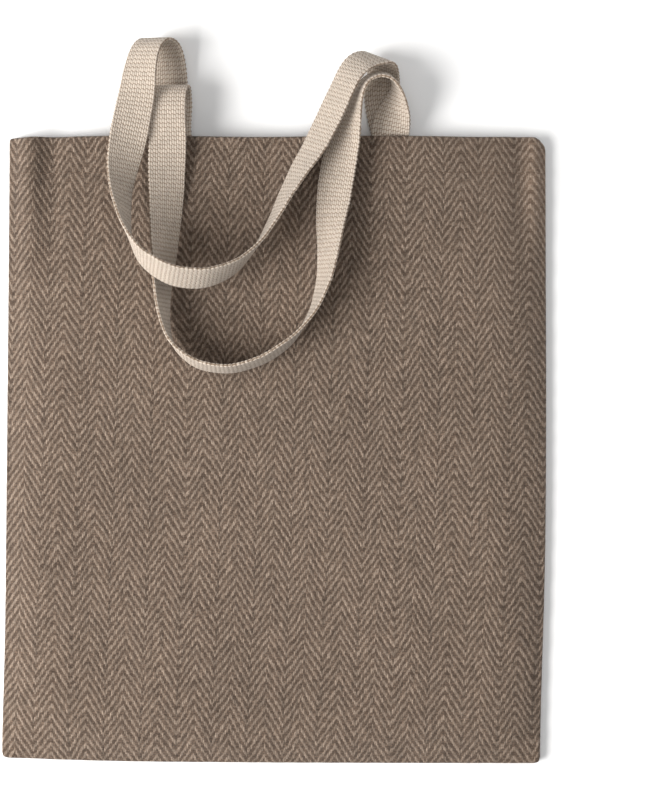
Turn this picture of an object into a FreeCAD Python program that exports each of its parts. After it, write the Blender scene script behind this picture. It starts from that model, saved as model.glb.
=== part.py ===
import FreeCAD, Part
import os

# Flat cloth bag with two webbing handles, lying on its back.
# Millimetres. +Z is up, out of the front of the bag, +Y points to the mouth, +X to the right.
# The origin is on the underside of the back panel, in the middle of the bag.

V = FreeCAD.Vector
os.makedirs("parts", exist_ok=True)

# ---- driving dimensions ----------------------------------------------------------------
bag_width = 360.0            # seam to seam
bag_height = 418.0           # bottom seam to mouth
inside_depth = 14.0          # room between the two panels as the bag lies
edge_slope_run = 30.0        # strip beside a seam where the front panel comes down to it
corner_radius = 2.6          # outside corners of the bag, seen from above

cloth_thickness = 1.6        # one ply of the woven cloth
ply_gap = 0.3                # air between a ply and the ply folded back on it
seam_allowance = 10.0        # cloth turned inside at a seam
hem_depth = 26.0             # cloth turned inside round the mouth
hem_stitch_depth = 24.5      # the hem's stitching, below the mouth

thread_thickness = 0.4       # how far a row of stitching stands on the cloth
thread_width = 0.8
overlock_thickness = 0.8     # thread bound over the raw edges of a seam
seam_stitch_inset = 1.2      # seam stitching, in from the inner face of the fold

webbing_width = 25.0
webbing_thickness = 2.0
handle_offset = 73.2         # each handle end, from the middle of its handle
handle_shift = 3.0           # both handles are sewn this far right of the bag's middle
handle_tail = 22.0           # webbing sewn down inside the mouth
box_stitch_inset = 3.0       # box stitch, in from the edges of the webbing
fold_clearance = 3.0         # between a sewn handle end and its loop, at the top of the fold
section_spacing = 5.0        # along a handle, between the cross-sections it is built from

# ---- derived sizes ---------------------------------------------------------------------
mouth_y = bag_height / 2
bottom_y = -bag_height / 2
folded_depth = 2 * cloth_thickness + ply_gap     # a ply, the gap and the ply turned in
seam_z = folded_depth                            # plane where the two panels are sewn
edge_z = 2 * seam_z                              # height of the bag along a seam
face_z = inside_depth + 2 * cloth_thickness      # outside face of the front panel
hem_stitch_y = mouth_y - hem_stitch_depth
beyond = 50.0                                    # tool bodies reach this far past the bag

back_sewn_z = folded_depth + webbing_thickness / 2
front_sewn_z = face_z - folded_depth - webbing_thickness / 2

# ---- how the handles lie ---------------------------------------------------------------
# Stations along a handle, from the mouth at its left sewn end to the mouth at its right one.
# Each holds: across, as a share of handle_offset from the middle of the handle; mm past the
# mouth; height; what the height is measured from; and the direction of the webbing's width.
# Heights from SEWN are the centre line's, above the level where the handle is sewn. Heights
# from FACE are those of the webbing's lower edge above the front panel, and STACKED ones are
# the same in webbing widths, for the back handle, which rides on top of the front one.
SEWN = "sewn level"
FACE = "front face"
STACKED = "front face, in webbing widths"

FRONT_HANDLE_ROUTE = [
    (-1.00, 0, 0.0, SEWN, (-1, 0, 0)),
    (-1.00, 9, -1.0, SEWN, (-1, 0, -0.02)),
    (-0.99, 19, -2.6, SEWN, (-1, 0, -0.08)),
    (-0.99, 27.5, -0.8, SEWN, (-1, 0, -0.12)),
    (-1.00, 32.5, 6.3, SEWN, (-1, 0, -0.13)),
    (-1.02, 29.5, 13.2, SEWN, (-1, 0, -0.12)),
    (-1.03, 17, 17.2, SEWN, (-1, 0.03, -0.07)),
    (-1.03, -4, 9.8, FACE, (-1, 0.02, 0.06)),
    (-1.04, -37, 3.2, FACE, (-0.91, 0.04, 0.42)),
    (-1.06, -78, 1.2, FACE, (-0.61, 0.07, 0.79)),
    (-1.06, -119, 1.2, FACE, (-0.22, 0.05, 0.97)),
    (-0.98, -139, 2.6, FACE, (-0.03, 0.1, 0.99)),
    (-0.77, -152, 4.0, FACE, (0.04, 0.17, 0.98)),
    (-0.49, -156, 4.2, FACE, (0, 0.17, 0.99)),
    (-0.22, -151.5, 3.9, FACE, (-0.02, 0.17, 0.98)),
    (0.03, -141, 3.0, FACE, (-0.03, 0.15, 0.98)),
    (0.22, -126, 1.5, FACE, (0.1, 0.05, 0.99)),
    (0.39, -97, 1.2, FACE, (0.36, -0.05, 0.92)),
    (0.445, -66, 1.9, FACE, (0.68, -0.06, 0.73)),
    (0.49, -36, 3.8, FACE, (0.92, -0.13, 0.38)),
    (0.57, -5, 2.0, FACE, (0.82, -0.21, 0.52)),
    (0.64, 15, -2.0, FACE, (0.51, -0.2, 0.84)),
    (0.71, 29, -2.7, FACE, (0.25, -0.17, 0.95)),
    (0.79, 37, -2.9, FACE, (0.19, -0.17, 0.97)),
    (0.9, 40, -3.2, FACE, (0.18, -0.23, 0.96)),
    (1.0, 38, -4.4, FACE, (0.15, -0.3, 0.94)),
    (1.06, 31, -7.4, FACE, (0.25, -0.28, 0.92)),
    (1.05, 21, 5.3, SEWN, (0.64, -0.24, 0.73)),
    (1.02, 10, 2.2, SEWN, (0.94, -0.12, 0.3)),
    (1.00, 0, 0.0, SEWN, (1, 0, 0)),
]
BACK_HANDLE_ROUTE = [
    (-1.00, 0, 0.0, SEWN, (-1, 0, 0)),
    (-1.02, 14, 0.0, SEWN, (-1, 0, -0.05)),
    (-1.03, 30, 0.0, SEWN, (-0.98, 0, -0.2)),
    (-1.03, 44, 1.2, SEWN, (-0.93, 0, -0.36)),
    (-1.045, 55, 4.0, SEWN, (-0.86, 0.03, -0.5)),
    (-1.09, 61, 9.3, SEWN, (-0.83, 0.06, -0.55)),
    (-1.15, 62, 15.4, SEWN, (-0.82, 0.07, -0.57)),
    (-1.21, 58, 1.0, FACE, (-0.82, 0.07, -0.57)),
    (-1.26, 48, 5.6, FACE, (-0.86, 0.1, -0.5)),
    (-1.31, 23, 0.5, STACKED, (-0.98, 0.14, -0.15)),
    (-1.36, 3, 0.61, STACKED, (-0.97, 0.18, 0.14)),
    (-1.41, -16, 0.46, STACKED, (-0.83, 0.18, 0.53)),
    (-1.44, -36, 0.36, STACKED, (-0.54, 0.18, 0.82)),
    (-1.41, -55, 0.53, STACKED, (-0.29, 0.25, 0.93)),
    (-1.33, -73, 0.8, STACKED, (-0.04, 0.34, 0.94)),
    (-1.16, -87.5, 1.04, STACKED, (0.08, 0.42, 0.9)),
    (-0.91, -96, 1.1, STACKED, (0.12, 0.46, 0.88)),
    (-0.64, -96.5, 0.98, STACKED, (0.12, 0.44, 0.89)),
    (-0.4, -89, 0.72, STACKED, (0.13, 0.33, 0.94)),
    (-0.21, -75, 0.46, STACKED, (0.22, 0.18, 0.96)),
    (-0.07, -58, 0.27, STACKED, (0.3, 0.07, 0.95)),
    (0.11, -32, 2.8, FACE, (0.44, -0.1, 0.89)),
    (0.32, -6, 1.6, FACE, (0.58, -0.25, 0.78)),
    (0.5, 21, 1.6, FACE, (0.6, -0.29, 0.75)),
    (0.63, 40, 1.4, FACE, (0.57, -0.31, 0.77)),
    (0.735, 48.8, -1.2, FACE, (0.59, -0.36, 0.73)),
    (0.83, 51.5, 16.2, SEWN, (0.6, -0.36, 0.71)),
    (0.93, 51.2, 9.8, SEWN, (0.65, -0.29, 0.7)),
    (0.985, 45, 3.4, SEWN, (0.8, -0.13, 0.58)),
    (0.995, 33, 0.6, SEWN, (0.95, -0.02, 0.28)),
    (1.00, 17, -0.3, SEWN, (0.99, 0, 0.1)),
    (1.00, 0, 0.0, SEWN, (1, 0, 0)),
]


# ---- helpers ---------------------------------------------------------------------------
def save(shape, node):
    shape.exportStep(os.path.join("parts", node + ".step"))
    print(node, len(shape.Solids), "solid(s)", round(shape.Volume, 1), "mm3")


def box(x0, x1, y0, y1, z0, z1):
    return Part.makeBox(x1 - x0, y1 - y0, z1 - z0, V(x0, y0, z0))


def prism(points, direction):
    return Part.Face(Part.makePolygon(points + points[:1])).extrude(direction)


def bag_body(inset):
    """The whole bag as one solid, with every face moved in by inset. It runs past the mouth."""
    rise = face_z - edge_z
    slope = (rise ** 2 + edge_slope_run ** 2) ** 0.5 / edge_slope_run
    side_z = edge_z + inset * rise / edge_slope_run - inset * slope
    shoulder = edge_slope_run + inset * (slope - 1) * edge_slope_run / rise
    top_z = face_z - inset
    half = bag_width / 2
    y0 = bottom_y + inset
    y1 = mouth_y + beyond
    across = [
        V(-half + inset, y0, inset), V(-half + inset, y0, side_z),
        V(-half + shoulder, y0, top_z), V(half - shoulder, y0, top_z),
        V(half - inset, y0, side_z), V(half - inset, y0, inset),
    ]
    along = [
        V(-half, y0, inset), V(-half, y0, side_z),
        V(-half, bottom_y + shoulder, top_z), V(-half, y1, top_z), V(-half, y1, inset),
    ]
    return prism(across, V(0, y1 - y0, 0)).common(prism(along, V(bag_width, 0, 0)))


def rounded_outline():
    """Upright block with the bag's outline: square at the mouth, rounded at the bottom."""
    block = box(-bag_width / 2, bag_width / 2, bottom_y, mouth_y, -beyond, beyond)
    corners = [
        edge for edge in block.Edges
        if edge.BoundBox.ZLength > beyond and edge.BoundBox.YMax < 0
    ]
    return block.makeFillet(corner_radius, corners)


def upper_half(y0, y1):
    return box(-bag_width, bag_width, y0, y1, seam_z, face_z + beyond)


def lower_half(y0, y1):
    return box(-bag_width, bag_width, y0, y1, -beyond, seam_z)


# ---- cloth -----------------------------------------------------------------------------
def seam_strips(z0, z1):
    """The cloth turned inside along the two side seams and the bottom seam."""
    outer = bag_width / 2 - cloth_thickness
    inner = bag_width / 2 - seam_allowance
    y0 = bottom_y + cloth_thickness
    y1 = mouth_y - hem_depth - ply_gap
    left = box(-outer, -inner, y0, y1, z0, z1)
    right = box(inner, outer, y0, y1, z0, z1)
    bottom = box(-outer, outer, y0, bottom_y + seam_allowance, z0, z1)
    return [left, right, bottom]


def panel(half, strips):
    """One panel: its outside ply, the hem turned in at the mouth and the seam allowances."""
    skin = bag_body(0).cut(bag_body(cloth_thickness)).common(half(bottom_y, mouth_y))
    turned = bag_body(cloth_thickness + ply_gap).cut(bag_body(folded_depth))
    turned = turned.common(half(mouth_y - hem_depth, mouth_y))
    edge = bag_body(0).cut(bag_body(folded_depth)).common(half(mouth_y - cloth_thickness, mouth_y))
    whole = skin.fuse([turned, edge] + strips)
    return whole.common(rounded_outline()).removeSplitter()


save(panel(upper_half, seam_strips(seam_z, seam_z + cloth_thickness)), "front_panel")
save(panel(lower_half, seam_strips(seam_z - cloth_thickness, seam_z)), "back_panel")


# ---- seam thread -----------------------------------------------------------------------
def seam_rows(x0, x1, y0, y1):
    """Stitching through both seam allowances: a row on top of them and a row underneath."""
    over = box(x0, x1, y0, y1, seam_z + cloth_thickness, seam_z + cloth_thickness + ply_gap)
    under = box(x0, x1, y0, y1, seam_z - cloth_thickness - ply_gap, seam_z - cloth_thickness)
    return Part.makeCompound([over, under])


allowance_top = mouth_y - hem_depth - ply_gap
row_out = bag_width / 2 - cloth_thickness - seam_stitch_inset
row_in = row_out - thread_width
row_bottom = bottom_y + cloth_thickness + seam_stitch_inset
save(seam_rows(-row_out, -row_in, row_bottom, allowance_top), "left_side_seam_stitching")
save(seam_rows(row_in, row_out, row_bottom, allowance_top), "right_side_seam_stitching")
save(seam_rows(-row_in, row_in, row_bottom, row_bottom + thread_width), "bottom_seam_stitching")

overlock_z0 = seam_z - cloth_thickness
overlock_z1 = seam_z + cloth_thickness
raw_x = bag_width / 2 - seam_allowance
raw_y = bottom_y + seam_allowance
overlock_y = raw_y + overlock_thickness
save(box(-raw_x, -raw_x + overlock_thickness, overlock_y, allowance_top, overlock_z0, overlock_z1),
     "left_side_overlock")
save(box(raw_x - overlock_thickness, raw_x, overlock_y, allowance_top, overlock_z0, overlock_z1),
     "right_side_overlock")
save(box(-raw_x, raw_x, raw_y, overlock_y, overlock_z0, overlock_z1), "bottom_overlock")


# ---- hem thread ------------------------------------------------------------------------
def hem_row(z0, z1):
    """A row of hem stitching across the flat middle of a panel."""
    reach = bag_width / 2 - edge_slope_run - thread_width
    y0 = hem_stitch_y - thread_width / 2
    return box(-reach, reach, y0, y0 + thread_width, z0, z1)


front_inner_z = face_z - folded_depth
save(Part.makeCompound([hem_row(face_z, face_z + thread_thickness),
                        hem_row(front_inner_z - thread_thickness, front_inner_z)]),
     "front_hem_stitching")
save(hem_row(folded_depth, folded_depth + thread_thickness), "back_hem_stitching")


# ---- handles ---------------------------------------------------------------------------
class Strip:
    """Webbing that follows a route, with a straight tail sewn down at each end."""

    def __init__(self, route, sewn_z):
        centres = []
        edges = []
        for across, past_mouth, height, datum, width in route:
            width = V(*width).normalize()
            lift = abs(width.z) * webbing_width / 2
            level = {
                SEWN: sewn_z + height,
                FACE: face_z + height + lift,
                STACKED: face_z + height * webbing_width + lift,
            }[datum]
            x = handle_shift + across * handle_offset
            centres.append(V(x, mouth_y + past_mouth, level))
            edges.append(centres[-1] + width * (webbing_width / 2))
        self.lengths = [0.0]
        for a, b in zip(centres, centres[1:]):
            self.lengths.append(self.lengths[-1] + a.distanceToPoint(b))
        self.end = self.lengths[-1]
        self.first = centres[0]
        self.last = centres[-1]
        self.centre = self.spline(centres)
        self.edge = self.spline(edges)
        # the folds are the stations farthest past the mouth on either side
        half = len(route) // 2
        reach = [station[1] for station in route]
        self.left_fold = self.lengths[reach.index(max(reach[:half]))]
        self.right_fold = self.lengths[half + reach[half:].index(max(reach[half:]))]

    def spline(self, points):
        """Smooth curve through the points that leaves and enters the mouth straight."""
        lead = [8.0, 4.0]
        before = [points[0] - V(0, back, 0) for back in lead]
        after = [points[-1] - V(0, back, 0) for back in reversed(lead)]
        steps = [-back for back in lead] + self.lengths + [self.end + back for back in reversed(lead)]
        curve = Part.BSplineCurve()
        curve.interpolate(Points=before + points + after, Parameters=steps)
        return curve

    def corners(self, length):
        """Corners of the webbing's cross-section. Tails lie below length 0 and past the end."""
        if length <= 0:
            middle, tangent, width = self.first + V(0, length, 0), V(0, 1, 0), V(-1, 0, 0)
        elif length >= self.end:
            middle, tangent, width = self.last + V(0, self.end - length, 0), V(0, -1, 0), V(1, 0, 0)
        else:
            middle = self.centre.value(length)
            tangent = V(*self.centre.tangent(length)[0]).normalize()
            width = self.edge.value(length) - middle
            width = (width - tangent * width.dot(tangent)).normalize()
        width = width * (webbing_width / 2)
        depth = tangent.cross(width).normalize() * (webbing_thickness / 2)
        return [middle + width + depth, middle - width + depth,
                middle - width - depth, middle + width - depth]

    def piece(self, start, end):
        """The webbing between two lengths, as one solid."""
        count = max(4, round((end - start) / section_spacing))
        steps = [start + (end - start) * i / count for i in range(count + 1)]
        sections = [self.corners(length) for length in steps]
        edges = []
        for points in zip(*sections):
            curve = Part.BSplineCurve()
            curve.interpolate(Points=list(points), Parameters=steps)
            edges.append(curve.toShape())
        faces = [Part.makeRuledSurface(a, b, 1) for a, b in zip(edges, edges[1:] + edges[:1])]
        faces += [Part.Face(Part.makePolygon(s + s[:1])) for s in (sections[0], sections[-1])]
        shell = Part.makeShell(faces)
        shell.sewShape()
        solid = Part.makeSolid(shell)
        if solid.Volume < 0:
            solid.reverse()
        return solid

    def tail(self, side):
        """The straight end sewn down inside the mouth: side is -1 at the left, 1 at the right."""
        corners = self.corners(0) if side < 0 else self.corners(self.end)
        return prism(corners, V(0, -handle_tail, 0))


def box_stitch(middle_x, z0, z1):
    """A sewn box with a cross in it, as raised thread between heights z0 and z1."""
    x0 = middle_x - webbing_width / 2 + box_stitch_inset
    x1 = middle_x + webbing_width / 2 - box_stitch_inset
    y0 = mouth_y - handle_tail + box_stitch_inset
    y1 = mouth_y - box_stitch_inset
    w = thread_width
    bars = [
        box(x0, x1, y0, y0 + w, z0, z1), box(x0, x1, y1 - w, y1, z0, z1),
        box(x0, x0 + w, y0, y1, z0, z1), box(x1 - w, x1, y0, y1, z0, z1),
        prism([V(x0, y0, z0), V(x0 + w, y0, z0), V(x1, y1, z0), V(x1 - w, y1, z0)],
              V(0, 0, z1 - z0)),
        prism([V(x1 - w, y0, z0), V(x1, y0, z0), V(x0 + w, y1, z0), V(x0, y1, z0)],
              V(0, 0, z1 - z0)),
    ]
    return bars[0].fuse(bars[1:]).removeSplitter()


def save_handle(name, route, sewn_z):
    strip = Strip(route, sewn_z)
    gap = fold_clearance / 2
    left = strip.piece(0, strip.left_fold - gap).fuse(strip.tail(-1))
    right = strip.piece(strip.right_fold + gap, strip.end).fuse(strip.tail(1))
    save(left, name + "_handle_left_end")
    save(strip.piece(strip.left_fold + gap, strip.right_fold - gap), name + "_handle_loop")
    save(right, name + "_handle_right_end")
    for fold in (strip.left_fold, strip.right_fold):
        at = strip.centre.value(fold)
        print(name, "fold at", round(at.x, 1), round(at.y - mouth_y, 1), round(at.z, 1))
    print(name, "handle webbing length", round(strip.end + 2 * handle_tail, 1))


save_handle("front", FRONT_HANDLE_ROUTE, front_sewn_z)
save_handle("back", BACK_HANDLE_ROUTE, back_sewn_z)

front_web_z = front_sewn_z - webbing_thickness / 2
back_web_z = back_sewn_z + webbing_thickness / 2
for side, middle_x in (("left", handle_shift - handle_offset), ("right", handle_shift + handle_offset)):
    under = box_stitch(middle_x, front_web_z - thread_thickness, front_web_z)
    outside = box_stitch(middle_x, face_z, face_z + thread_thickness)
    save(Part.makeCompound([under, outside]), "front_" + side + "_box_stitch")
    save(box_stitch(middle_x, back_web_z, back_web_z + thread_thickness), "back_" + side + "_box_stitch")
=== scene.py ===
import math

import bpy
import numpy as np
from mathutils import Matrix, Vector


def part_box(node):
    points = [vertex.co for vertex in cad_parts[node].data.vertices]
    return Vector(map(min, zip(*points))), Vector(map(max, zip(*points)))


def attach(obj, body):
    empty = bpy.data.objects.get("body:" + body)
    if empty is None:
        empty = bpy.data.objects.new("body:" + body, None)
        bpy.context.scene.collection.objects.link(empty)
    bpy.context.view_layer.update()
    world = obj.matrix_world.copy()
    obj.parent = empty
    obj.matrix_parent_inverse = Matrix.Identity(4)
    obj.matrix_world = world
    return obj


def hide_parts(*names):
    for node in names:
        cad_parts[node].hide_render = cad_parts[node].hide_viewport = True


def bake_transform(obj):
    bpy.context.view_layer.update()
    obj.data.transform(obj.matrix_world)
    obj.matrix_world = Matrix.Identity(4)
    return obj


# A flat cloth bag with two webbing handles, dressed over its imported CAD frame.
# Lengths below are in millimetres and are turned into metres when a mesh is made.

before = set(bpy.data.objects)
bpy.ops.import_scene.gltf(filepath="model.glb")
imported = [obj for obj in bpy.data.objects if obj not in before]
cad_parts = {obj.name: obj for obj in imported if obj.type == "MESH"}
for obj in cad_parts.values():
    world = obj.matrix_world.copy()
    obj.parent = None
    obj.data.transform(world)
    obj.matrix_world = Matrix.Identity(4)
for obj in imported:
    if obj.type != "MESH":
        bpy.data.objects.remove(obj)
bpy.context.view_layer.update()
rng = np.random.default_rng(11)
scene = bpy.context.scene
MM = 0.001

back_lo, back_hi = (np.array(p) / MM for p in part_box("back_panel"))
front_hi = np.array(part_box("front_panel")[1]) / MM
HALF, BOTTOM, MOUTH = back_hi[0], back_lo[1], back_hi[1]
FACE = front_hi[2]            # outside face of the front panel
SEAM_Z = back_hi[2]           # middle of a seam, where the two panels meet
EDGE_Z = 2 * SEAM_Z           # height of the bag along a seam
HEIGHT = MOUTH - BOTTOM
PLY = 1.4                     # one ply of cloth, a little less than the frame's
ROLL = 1.8                    # outside radius of a turned edge
HEM = 26.0                    # cloth turned inside at the mouth
HEM_ROW = 24.5                # the hem's stitching, below the mouth
UNDER_HEM = MOUTH - HEM - 0.5 # where the seams and their allowances stop
RUN = 42.0                    # strip beside a seam where the front panel comes down to it
SEAM = 10.0                   # seam allowance
FROM_FOLD = 2.4               # gap between a turned edge and its allowance
SEAM_ROW = 4.2                # the seams' stitching, from the outside of the bag
HANDLE_SHIFT = 3.0            # both handles sit a little right of the middle
HANDLE_OFFSET = 73.2          # from there to the middle of each sewn end
TAIL = 22.0                   # webbing sewn in below the mouth
WEB_WIDTH = 25.0
WEB_THICK = 2.0
WEB_ROW = 2.85                # length of one row of the webbing's weave
SEWN_DEPTH = 4.5              # middle of a sewn end, below the bag's outside face
FRONT_SEWN_Z = FACE - SEWN_DEPTH
BACK_SEWN_Z = SEWN_DEPTH


# ---- materials -------------------------------------------------------------------------
class Nodes:
    """A material, with short names for building its node tree."""

    def __init__(self, name):
        self.mat = bpy.data.materials.new(name)
        self.mat.use_nodes = True
        self.tree = self.mat.node_tree
        self.bsdf = self.tree.nodes["Principled BSDF"]

    def put(self, socket, value):
        if isinstance(value, bpy.types.NodeSocket):
            self.tree.links.new(value, socket)
        else:
            socket.default_value = value

    def math(self, op, a, b=None, c=None):
        n = self.tree.nodes.new("ShaderNodeMath")
        n.operation = op
        for k, v in enumerate((a, b, c)):
            if v is not None:
                self.put(n.inputs[k], v)
        return n.outputs[0]

    def add(self, a, b):
        return self.math("ADD", a, b)

    def sub(self, a, b):
        return self.math("SUBTRACT", a, b)

    def mul(self, a, b):
        return self.math("MULTIPLY", a, b)

    def power(self, a, b):
        return self.math("POWER", a, b)

    def floor(self, a):
        return self.math("FLOOR", a)

    def fract(self, a):
        return self.math("FRACT", a)

    def arch(self, a, period=1.0):
        """Half a sine wave over each period, never below nought."""
        return self.math("MAXIMUM", self.math("SINE", self.mul(a, math.pi / period)), 0.0)

    def ramp(self, a, low, high, to_low=0.0, to_high=1.0, smooth=True):
        n = self.tree.nodes.new("ShaderNodeMapRange")
        n.interpolation_type = "SMOOTHSTEP" if smooth else "LINEAR"
        for k, v in enumerate((a, low, high, to_low, to_high)):
            self.put(n.inputs[k], v)
        return n.outputs[0]

    def uv(self, name):
        n = self.tree.nodes.new("ShaderNodeUVMap")
        n.uv_map = name
        s = self.tree.nodes.new("ShaderNodeSeparateXYZ")
        self.put(s.inputs[0], n.outputs[0])
        return self.mul(s.outputs[0], 1000.0), self.mul(s.outputs[1], 1000.0)

    def at(self, x, y, z=0.0):
        n = self.tree.nodes.new("ShaderNodeCombineXYZ")
        for k, v in enumerate((x, y, z)):
            self.put(n.inputs[k], v)
        return n.outputs[0]

    def noise(self, vector, scale, detail=2.0, rough=0.5):
        n = self.tree.nodes.new("ShaderNodeTexNoise")
        self.put(n.inputs["Vector"], vector)
        n.inputs["Scale"].default_value = scale
        n.inputs["Detail"].default_value = detail
        n.inputs["Roughness"].default_value = rough
        return n.outputs[0]

    def white(self, vector):
        n = self.tree.nodes.new("ShaderNodeTexWhiteNoise")
        n.noise_dimensions = "3D"
        self.put(n.inputs["Vector"], vector)
        return n.outputs[0]

    def mix(self, share, a, b):
        n = self.tree.nodes.new("ShaderNodeMix")
        n.data_type = "RGBA"
        for k, v in ((0, share), (6, a), (7, b)):
            self.put(n.inputs[k], v)
        return n.outputs[2]

    def tint(self, color, amount):
        """Colour times a brightness."""
        n = self.tree.nodes.new("ShaderNodeVectorMath")
        n.operation = "SCALE"
        self.put(n.inputs[0], color)
        self.put(n.inputs["Scale"], amount)
        return n.outputs[0]

    def finish(self, color, height, distance, strength, rough, sheen):
        """Joins the tree to the shader, with its height as a bump, and gives the material."""
        self.put(self.bsdf.inputs["Base Color"], color)
        self.put(self.bsdf.inputs["Roughness"], rough)
        self.bsdf.inputs["Specular IOR Level"].default_value = 0.18
        self.bsdf.inputs["Sheen Weight"].default_value = sheen
        self.bsdf.inputs["Sheen Roughness"].default_value = 0.6
        bump = self.tree.nodes.new("ShaderNodeBump")
        bump.inputs["Distance"].default_value = distance
        bump.inputs["Strength"].default_value = strength
        self.put(bump.inputs["Height"], height)
        self.put(self.bsdf.inputs["Normal"], bump.outputs[0])
        return self.mat


def linear(r, g, b):
    """A colour of 0 to 255 a channel, as the shader takes it."""
    return tuple((c / 255 / 12.92) if c < 10.3 else ((c / 255 + 0.055) / 1.055) ** 2.4
                 for c in (r, g, b)) + (1.0,)


def herringbone():
    """2/2 twill that turns back every 11 ends: light warp floats over darker picks."""
    n = Nodes("herringbone_cloth")
    end, pick = 1.08, 1.64            # width of a warp end and of a pick
    turn = 11.0                       # ends from one turn of the ribs to the next
    repeat, floating = 4.0, 2.4       # picks in a repeat, and how many an end covers
    first_turn = 8.54                 # where the turns fall across the bag
    slant = 0.021                     # how far the ends lean, for each millimetre down
    many_ends, many_picks = 2200.0, 2000.0      # keep both counts above nought
    x, y = n.uv("Weave")
    soft = n.at(n.mul(x, 0.001), n.mul(y, 0.001))
    wander = n.noise(soft, 22.0, 1.0)
    wander_along = n.noise(n.at(n.mul(y, 0.001), n.mul(x, 0.001), 3.0), 32.0, 1.0)
    fine = n.noise(soft, 240.0, 1.0)
    # the ends lean a little to the left on their way down
    lean = n.mul(n.sub(MOUTH - 40, y), slant)
    x1 = n.add(n.add(x, lean), n.add(n.mul(n.sub(wander, 0.5), 3.6), n.mul(n.sub(fine, 0.5), 1.2)))
    y1 = n.add(n.add(y, n.mul(n.sub(wander_along, 0.5), 4.0)), n.mul(n.sub(fine, 0.5), -1.5))
    across = n.mul(n.add(x1, many_ends * end + first_turn + end / 2), 1 / end)
    i = n.floor(across)
    fx = n.fract(across)
    stepped = n.math("PINGPONG", n.add(i, 0.01), turn)
    gliding = n.math("PINGPONG", n.sub(across, 0.5), turn)
    step = n.add(n.mul(stepped, 0.4), n.mul(gliding, 0.6))
    rows = n.mul(n.add(y1, many_picks * pick), 1 / pick)
    own = n.white(n.at(i, 1.7, 0.3))
    lift = n.add(n.sub(rows, step), n.mul(own, 0.7))
    t = n.math("FLOORED_MODULO", lift, repeat)
    over = n.math("LESS_THAN", t, floating)
    float_rise = n.power(n.math("MINIMUM", n.arch(t, floating), over), 0.55)
    warp = n.mul(float_rise, n.add(0.42, n.mul(n.power(n.arch(fx), 0.6), 0.58)))
    weft = n.mul(n.power(n.arch(n.fract(rows)), 0.7), 0.5)
    height = n.math("MAXIMUM", warp, weft)
    on_top = n.ramp(n.sub(warp, weft), -0.2, 0.5)
    along_end = n.noise(n.at(n.mul(i, 3.71), n.mul(y, 0.13), 1.0), 1.0, 2.0)
    along_pick = n.noise(n.at(n.mul(x, 0.11), n.mul(n.floor(rows), 2.93), 5.0), 1.0, 2.0)
    bead = n.white(n.at(i, n.floor(n.mul(lift, 1 / repeat)), 2.0))
    # fibres run along each float, so the streaks follow the ribs
    fibre = n.noise(n.at(n.mul(lift, 1.6), n.mul(across, 0.55)), 1.9, 3.0, 0.75)
    fuzz = n.noise(n.at(x, n.mul(y, 0.7)), 0.85, 3.0, 0.85)
    light = n.mix(n.ramp(along_end, 0.3, 0.7), linear(114, 99, 86), linear(133, 118, 105))
    dark = n.mix(n.ramp(along_pick, 0.3, 0.7), linear(88, 72, 60), linear(107, 90, 77))
    color = n.mix(on_top, dark, light)
    # painted shade: the weave's hollows, where floats and picks lie low, are darker
    shade = n.ramp(height, 0.05, 0.85, 0.60, 1.08)
    shade = n.mul(shade, n.add(0.80, n.mul(bead, 0.40)))
    shade = n.mul(shade, n.ramp(fibre, 0.25, 0.75, 0.62, 1.38, False))
    shade = n.mul(shade, n.ramp(fuzz, 0.25, 0.75, 0.50, 1.50, False))
    # the ends at a turn sink and are painted darker, as shade, more in some columns than in others
    turned = n.ramp(gliding, 0.2, 1.3, 0.80, 1.0)
    shade = n.mul(shade, n.math("MAXIMUM", turned, n.ramp(along_end, 0.4, 0.6, 0.8, 1.0)))
    patch = n.noise(soft, 8.0, 3.0)
    shade = n.mul(shade, n.ramp(patch, 0.25, 0.75, 0.92, 1.08, False))
    # the weave's contrast is flattened towards the top right, and the edge there gets a painted highlight,
    # where light catches its turned edge
    weave_flattening = n.ramp(n.add(x, n.mul(n.sub(y, MOUTH), 0.5)), 40.0, 170.0)
    shade = n.add(n.mul(shade, n.sub(1.0, n.mul(weave_flattening, 0.42))), n.mul(weave_flattening, 0.36))
    # painted highlight along the turned right edge near the mouth
    painted_edge_highlight = n.mul(n.ramp(x, 159.0, 171.0), n.ramp(y, MOUTH - 90, MOUTH - 30))
    shade = n.add(shade, n.mul(n.mul(painted_edge_highlight, fuzz), 0.55))
    height = n.add(height, n.add(n.mul(n.sub(fuzz, 0.5), 0.5), n.mul(n.sub(fibre, 0.5), 0.5)))
    rough = n.ramp(height, 0.0, 1.0, 0.97, 0.86)
    return n.finish(n.tint(color, shade), height, 0.0005, 0.85, rough, 0.10)


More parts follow.
